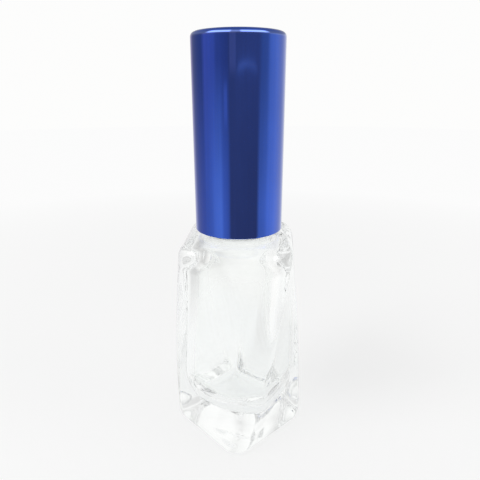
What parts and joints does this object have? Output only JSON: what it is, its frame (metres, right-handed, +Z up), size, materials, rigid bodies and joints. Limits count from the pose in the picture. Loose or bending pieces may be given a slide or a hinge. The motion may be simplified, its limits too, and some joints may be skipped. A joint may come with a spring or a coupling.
{
  "type": "roll on bottle",
  "caption": "Small roll on bottle: clear glass body of turned square section, steel roller ball in a plastic housing, tall blue metal cap.",
  "frame": {"origin": "on the table, under the middle of the base", "axes": "+Z up along the bottle's axis; a corner of the base points to -Y, and a flat side of the shoulder faces -Y"},
  "size_m": [0.0272, 0.0272, 0.0802],
  "materials": {
    "clear_glass": "clear, fire polished",
    "natural_plastic": "natural polyethylene, slightly milky",
    "ball_steel": "polished stainless steel",
    "white_plastic": "moulded polypropylene",
    "seal_plastic": "soft natural polyethylene",
    "blue_anodised": "glossy blue anodised"
  },
  "bodies": {
    "bottle": {"glass_bottle": "clear_glass", "roller_housing": "natural_plastic"},
    "ball": {"roller_ball": "ball_steel"},
    "cap": {"inner_cap": "white_plastic", "sealing_insert": "seal_plastic", "cap_shell": "blue_anodised"}
  },
  "joints": [
    {"name": "ball_roll", "type": "hinge", "parent": "bottle", "child": "ball", "pos_m": [0, 0, 0.0575], "axis": [1, 0, 0], "continuous": true},
    {"name": "cap_lift", "type": "slide", "parent": "bottle", "child": "cap", "axis": [0, 0, 1], "range_m": [0, 0.04]}
  ]
}
